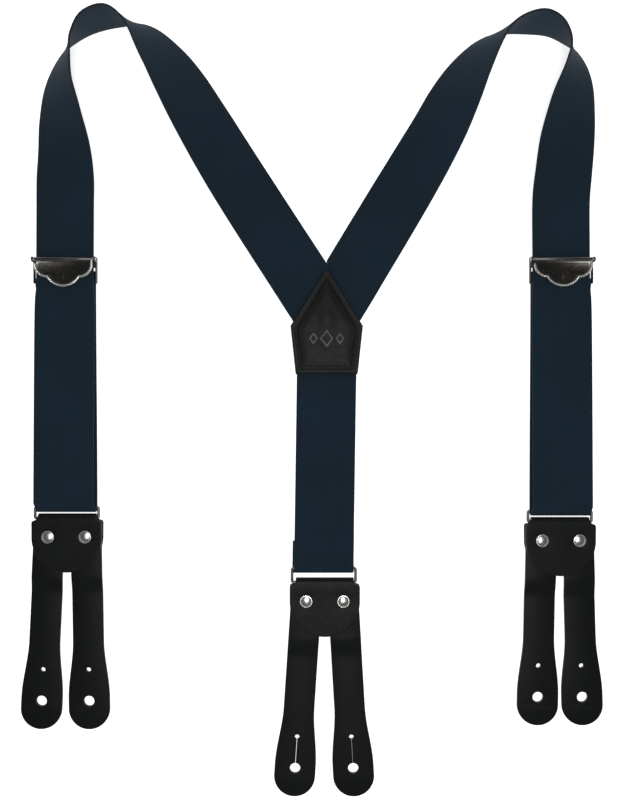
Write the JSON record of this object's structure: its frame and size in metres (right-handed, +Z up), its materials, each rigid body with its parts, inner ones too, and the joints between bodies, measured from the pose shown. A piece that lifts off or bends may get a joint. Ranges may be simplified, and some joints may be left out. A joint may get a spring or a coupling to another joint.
{
  "type": "suspenders",
  "caption": "Y-back button suspenders: elastic webbing, leather yoke patch, sliding metal adjusters, wire rings and leather tabs with button holes, laid flat.",
  "frame": {"origin": "on the surface the suspenders lie on, under the middle of their bounding box", "axes": "+X to the right and +Y towards the shoulder arches of the laid-out suspenders seen from above, +Z up from the surface"},
  "size_m": [0.3713, 0.4929, 0.038],
  "materials": {
    "webbing": "fine ribbed elastic weave, dark navy",
    "leather": "smooth black leather, slightly waxed",
    "nickel": "polished nickel plate",
    "antique_nickel": "cast plate, dark in the field and bright on the raised border",
    "thread": "dark waxed sewing thread"
  },
  "bodies": {
    "root": {"left_shoulder_strap": "webbing", "right_shoulder_strap": "webbing", "back_strap": "webbing", "yoke_front_patch": "leather", "yoke_rear_patch": "leather", "yoke_stitching": "thread"},
    "back_hem": {"back_hem_stitching": "thread"},
    "left_loop": {"left_strap_return": "webbing"},
    "left_adjuster": {"left_adjuster_frame": "nickel", "left_adjuster_pin": "nickel", "left_end_stitching": "thread"},
    "left_lever": {"left_adjuster_lever": "antique_nickel"},
    "right_loop": {"right_strap_return": "webbing"},
    "right_adjuster": {"right_adjuster_frame": "nickel", "right_adjuster_pin": "nickel", "right_end_stitching": "thread"},
    "right_lever": {"right_adjuster_lever": "antique_nickel"},
    "back_ring": {"back_ring": "nickel"},
    "back_tab": {"back_tab_wrap": "leather", "back_rivet_caps": "nickel", "back_rivet_posts": "nickel"},
    "back_left_leg": {"back_left_leg": "leather"},
    "back_right_leg": {"back_right_leg": "leather"},
    "left_ring": {"left_ring": "nickel"},
    "left_tab": {"left_tab_wrap": "leather", "left_rivet_caps": "nickel", "left_rivet_posts": "nickel"},
    "left_outer_leg": {"left_outer_leg": "leather"},
    "left_inner_leg": {"left_inner_leg": "leather"},
    "right_ring": {"right_ring": "nickel"},
    "right_tab": {"right_tab_wrap": "leather", "right_rivet_caps": "nickel", "right_rivet_posts": "nickel"},
    "right_inner_leg": {"right_inner_leg": "leather"},
    "right_outer_leg": {"right_outer_leg": "leather"}
  },
  "joints": [
    {"name": "back_stretch", "type": "slide", "parent": "root", "child": "back_hem", "axis": [0, -1, 0], "range_m": [0, 0.05], "stiffness_N_per_m": 500, "deforming": ["back_strap"]},
    {"name": "left_strap_length", "type": "slide", "parent": "root", "child": "left_loop", "axis": [0, 1, 0], "range_m": [-0.03, 0.014], "deforming": ["left_shoulder_strap"]},
    {"name": "left_adjuster_slide", "type": "slide", "parent": "left_loop", "child": "left_adjuster", "axis": [0, 1, 0], "range_m": [-0.03, 0.014], "deforming": ["left_strap_return"]},
    {"name": "left_lever_hinge", "type": "hinge", "parent": "left_adjuster", "child": "left_lever", "pos_m": [-0.1573, 0.097, 0.0077], "axis": [-1, 0, 0], "range_deg": [0, 100]},
    {"name": "right_strap_length", "type": "slide", "parent": "root", "child": "right_loop", "axis": [0, 1, 0], "range_m": [-0.03, 0.014], "deforming": ["right_shoulder_strap"]},
    {"name": "right_adjuster_slide", "type": "slide", "parent": "right_loop", "child": "right_adjuster", "axis": [0, 1, 0], "range_m": [-0.03, 0.014], "deforming": ["right_strap_return"]},
    {"name": "right_lever_hinge", "type": "hinge", "parent": "right_adjuster", "child": "right_lever", "pos_m": [0.1583, 0.097, 0.0077], "axis": [-1, 0, 0], "range_deg": [0, 100]},
    {"name": "back_ring_hinge", "type": "hinge", "parent": "back_hem", "child": "back_ring", "pos_m": [0.0072, -0.099, 0.003], "axis": [-1, 0, 0], "range_deg": [-35, 35]},
    {"name": "back_tab_hinge", "type": "hinge", "parent": "back_ring", "child": "back_tab", "pos_m": [0.0078, -0.108, 0.003], "axis": [-1, 0, 0], "range_deg": [-75, 75]},
    {"name": "back_left_leg_swivel", "type": "hinge", "parent": "back_tab", "child": "back_left_leg", "pos_m": [-0.004, -0.1196, 0.003], "axis": [0, 0, 1], "range_deg": [-9, 2.5]},
    {"name": "back_right_leg_swivel", "type": "hinge", "parent": "back_tab", "child": "back_right_leg", "pos_m": [0.0196, -0.1196, 0.003], "axis": [0, 0, 1], "range_deg": [-2.5, 9]},
    {"name": "left_ring_hinge", "type": "hinge", "parent": "left_loop", "child": "left_ring", "pos_m": [-0.1564, -0.0603, 0.003], "axis": [-1, 0, 0], "range_deg": [-35, 35]},
    {"name": "left_tab_hinge", "type": "hinge", "parent": "left_ring", "child": "left_tab", "pos_m": [-0.1559, -0.0672, 0.003], "axis": [-1, 0, 0], "range_deg": [-75, 75]},
    {"name": "left_outer_leg_swivel", "type": "hinge", "parent": "left_tab", "child": "left_outer_leg", "pos_m": [-0.1677, -0.0788, 0.003], "axis": [0, 0, 1], "range_deg": [-9, 1]},
    {"name": "left_inner_leg_swivel", "type": "hinge", "parent": "left_tab", "child": "left_inner_leg", "pos_m": [-0.1441, -0.0788, 0.003], "axis": [0, 0, 1], "range_deg": [-1, 9]},
    {"name": "right_ring_hinge", "type": "hinge", "parent": "right_loop", "child": "right_ring", "pos_m": [0.1574, -0.0626, 0.003], "axis": [-1, 0, 0], "range_deg": [-35, 35]},
    {"name": "right_tab_hinge", "type": "hinge", "parent": "right_ring", "child": "right_tab", "pos_m": [0.1574, -0.0695, 0.003], "axis": [-1, 0, 0], "range_deg": [-75, 75]},
    {"name": "right_inner_leg_swivel", "type": "hinge", "parent": "right_tab", "child": "right_inner_leg", "pos_m": [0.1456, -0.0811, 0.003], "axis": [0, 0, 1], "range_deg": [-9, 0.5]},
    {"name": "right_outer_leg_swivel", "type": "hinge", "parent": "right_tab", "child": "right_outer_leg", "pos_m": [0.1692, -0.0811, 0.003], "axis": [0, 0, 1], "range_deg": [-0.5, 9]}
  ],
  "couplings": [
    {"joint": "left_adjuster_slide", "follows": "left_strap_length", "ratio": 1},
    {"joint": "right_adjuster_slide", "follows": "right_strap_length", "ratio": 1}
  ]
}
